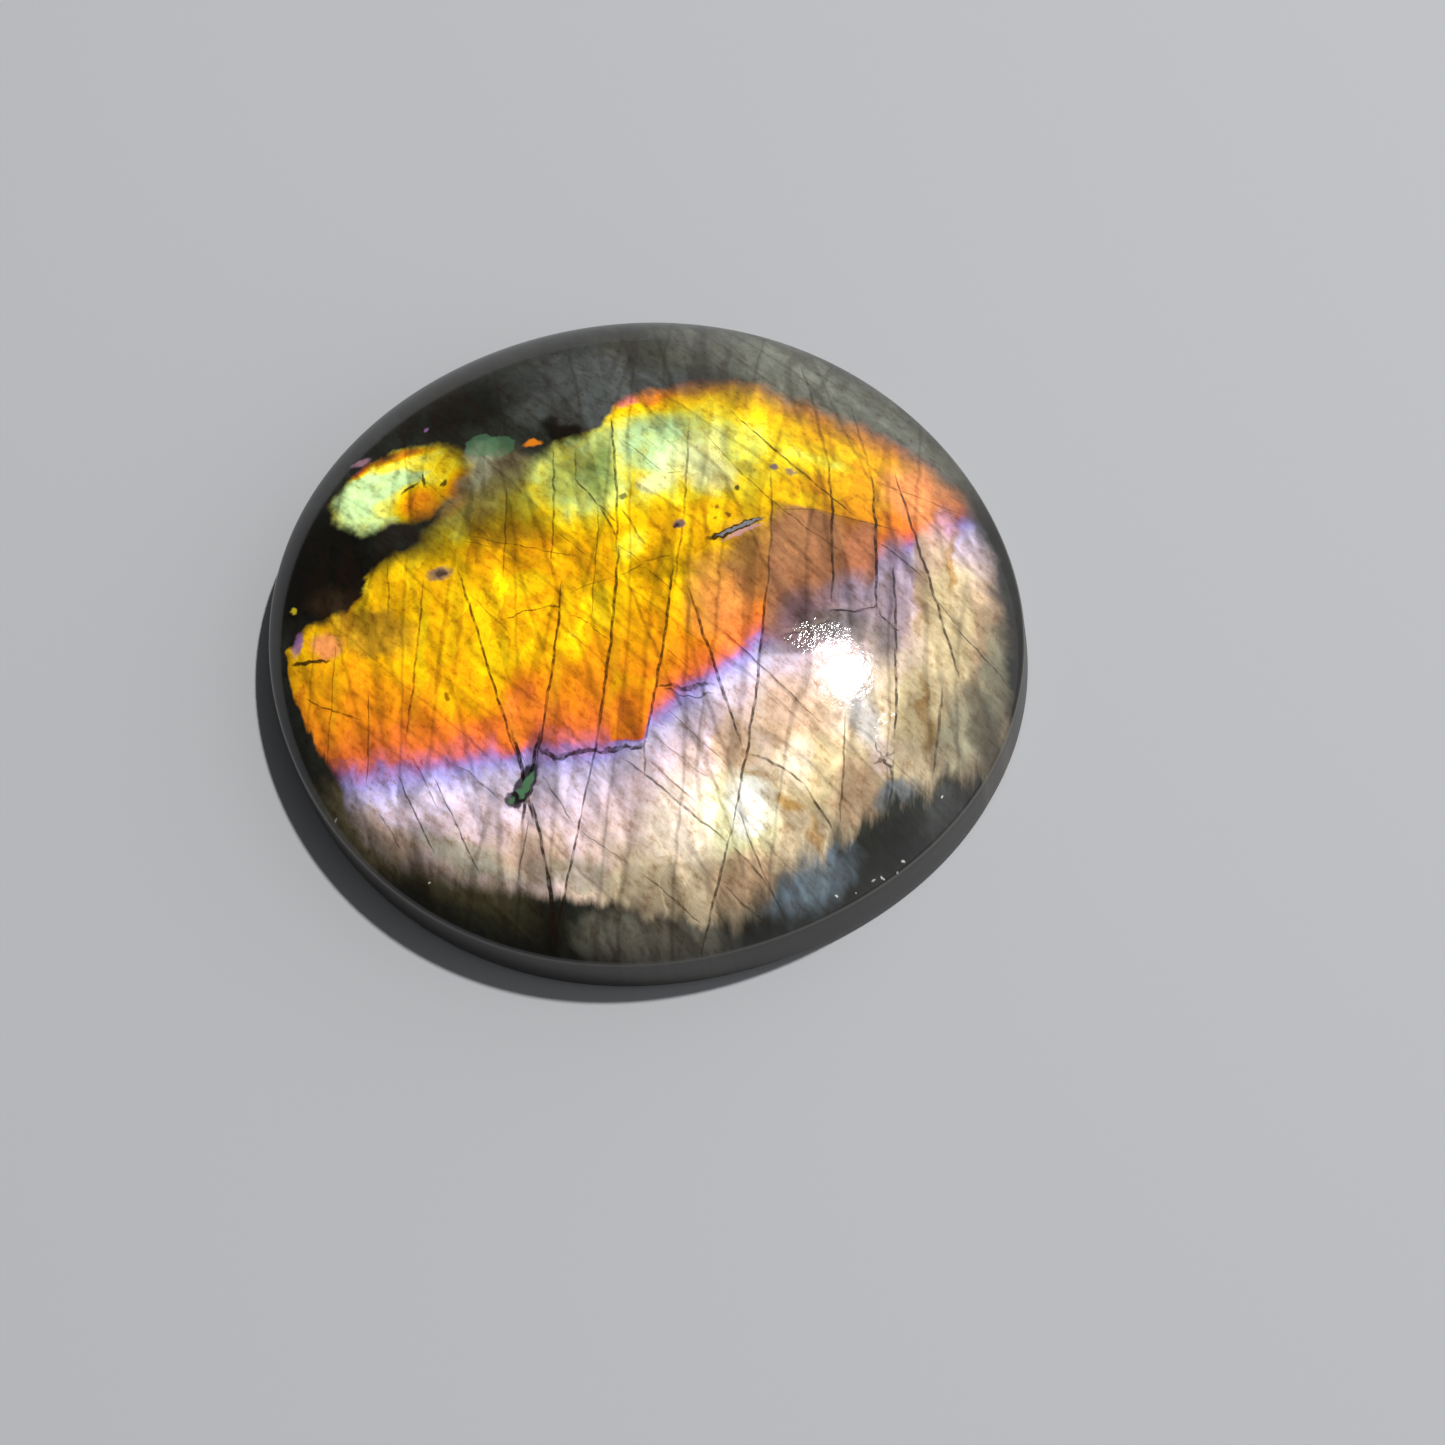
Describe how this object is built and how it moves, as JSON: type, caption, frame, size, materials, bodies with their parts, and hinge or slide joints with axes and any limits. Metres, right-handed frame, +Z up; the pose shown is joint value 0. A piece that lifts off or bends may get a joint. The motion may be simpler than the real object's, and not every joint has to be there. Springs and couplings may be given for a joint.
{
  "type": "labradorite cabochon",
  "caption": "Oval polished labradorite cabochon with a domed face, a low side wall and a flat back, for setting in jewellery or for display.",
  "frame": {"origin": "centre of the outline at the flat back, which is the face that the stone rests on", "axes": "+Z up from the flat back through the dome, +X along the oval's long axis, +Y across it"},
  "size_m": [0.0352, 0.0326, 0.0074],
  "materials": {
    "polished_labradorite": "polished"
  },
  "bodies": {
    "root": {"cabochon": "polished_labradorite"}
  },
  "joints": []
}
